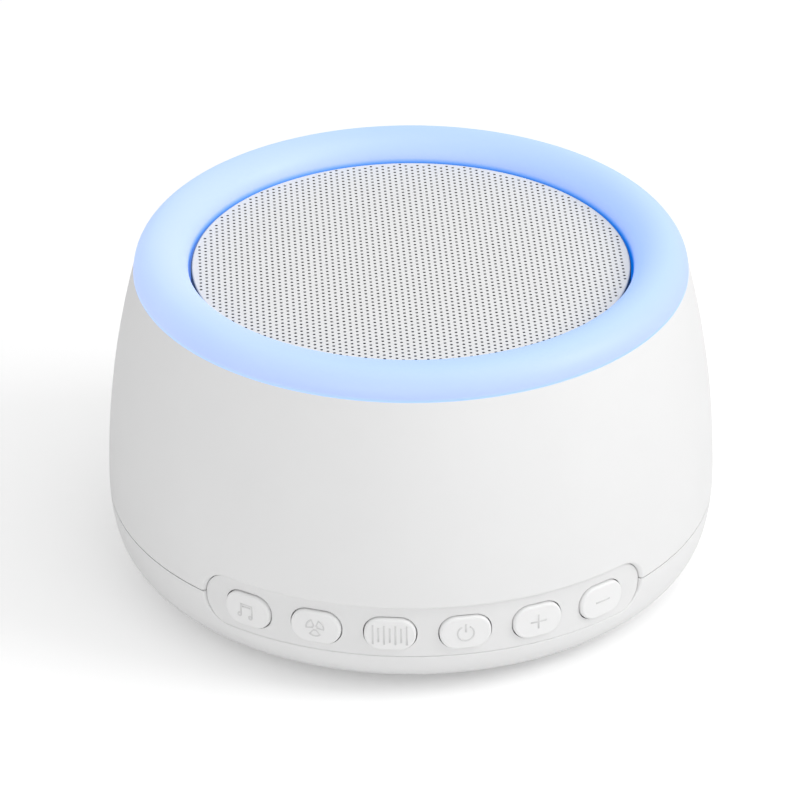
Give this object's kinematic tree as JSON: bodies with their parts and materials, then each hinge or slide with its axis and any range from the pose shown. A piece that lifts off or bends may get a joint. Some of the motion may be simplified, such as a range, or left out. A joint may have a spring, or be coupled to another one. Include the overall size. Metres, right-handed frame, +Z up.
{
  "type": "white noise sound machine",
  "caption": "Round bedside sound machine with a half-round light ring, a perforated speaker grille on top and a curved panel of push buttons at the front.",
  "frame": {"origin": "on the floor under the upright axis of the round housing, level with the undersides of the rubber feet", "axes": "+Z up along the round housing's axis, -Y towards the front with the button panel, +Y towards the back with the power inlet, +X to the right seen from the front"},
  "size_m": [0.116, 0.116, 0.0662],
  "materials": {
    "black_plastic": "moulded",
    "button": "satin",
    "capacitor_sleeve": "shrink sleeve",
    "circuit_board": "solder mask",
    "cone_paper": "pressed pulp",
    "copper": "enamelled wire",
    "diffuser": "frosted translucent, lit blue",
    "ferrite": "sintered, ground faces",
    "flex_circuit": "polyimide film",
    "foam": "closed-cell foam",
    "foot_rubber": "moulded",
    "grille": "satin, perforated",
    "housing": "fine satin moulded plastic",
    "inlet_metal": "nickel plated",
    "inner_plastic": "moulded",
    "lamp": "moulded lens",
    "lead_sleeve": "thin wire sleeve",
    "panel": "fine satin moulded plastic",
    "plated_steel": "zinc plated",
    "pressed_steel": "black coated",
    "screw_steel": "zinc plated",
    "spider_cloth": "resin-treated cloth",
    "surround_rubber": "moulded"
  },
  "bodies": {
    "housing": {"board_capacitors": "capacitor_sleeve", "board_chips": "black_plastic", "board_screws": "screw_steel", "board_sockets": "inner_plastic", "button_carrier": "inner_plastic", "button_flex": "flex_circuit", "button_panel": "panel", "button_tail": "flex_circuit", "housing_screws": "screw_steel", "inlet_shell": "inlet_metal", "inlet_tab": "black_plastic", "lamp_board": "circuit_board", "lamp_lead": "lead_sleeve", "light_ring": "diffuser", "lower_housing": "housing", "magnet": "ferrite", "main_board": "circuit_board", "ring_lamps": "lamp", "rubber_foot_1": "foot_rubber", "rubber_foot_2": "foot_rubber", "rubber_foot_3": "foot_rubber", "rubber_foot_4": "foot_rubber", "speaker_basket": "pressed_steel", "speaker_gasket": "foam", "speaker_grille": "grille", "speaker_lead": "lead_sleeve", "speaker_screws": "screw_steel", "speaker_surround": "surround_rubber", "spider": "spider_cloth", "switch_bodies": "black_plastic", "top_plate": "plated_steel", "upper_housing": "housing", "yoke": "plated_steel"},
    "button_music": {"button_music": "button", "plunger_music": "black_plastic"},
    "button_fan": {"button_fan": "button", "plunger_fan": "black_plastic"},
    "button_noise": {"button_noise": "button", "plunger_noise": "black_plastic"},
    "button_power": {"button_power": "button", "plunger_power": "black_plastic"},
    "button_volume_up": {"button_volume_up": "button", "plunger_volume_up": "black_plastic"},
    "button_volume_down": {"button_volume_down": "button", "plunger_volume_down": "black_plastic"},
    "cone": {"speaker_cone": "cone_paper", "voice_coil": "copper", "dust_cap": "cone_paper"}
  },
  "joints": [
    {"name": "music_press", "type": "slide", "parent": "housing", "child": "button_music", "axis": [0.57, 0.8216, 0], "range_m": [0, 0.0005], "stiffness_N_per_m": 400},
    {"name": "fan_press", "type": "slide", "parent": "housing", "child": "button_fan", "axis": [0.3559, 0.9345, 0], "range_m": [0, 0.0005], "stiffness_N_per_m": 400},
    {"name": "noise_press", "type": "slide", "parent": "housing", "child": "button_noise", "axis": [0.121, 0.9927, 0], "range_m": [0, 0.0005], "stiffness_N_per_m": 400},
    {"name": "power_press", "type": "slide", "parent": "housing", "child": "button_power", "axis": [-0.121, 0.9927, 0], "range_m": [0, 0.0005], "stiffness_N_per_m": 400},
    {"name": "volume_up_press", "type": "slide", "parent": "housing", "child": "button_volume_up", "axis": [-0.3559, 0.9345, 0], "range_m": [0, 0.0005], "stiffness_N_per_m": 400},
    {"name": "volume_down_press", "type": "slide", "parent": "housing", "child": "button_volume_down", "axis": [-0.57, 0.8216, 0], "range_m": [0, 0.0005], "stiffness_N_per_m": 400},
    {"name": "cone_travel", "type": "slide", "parent": "housing", "child": "cone", "axis": [0, 0, 1], "range_m": [-0.001, 0.001], "stiffness_N_per_m": 900, "deforming": ["speaker_surround", "spider"]}
  ]
}
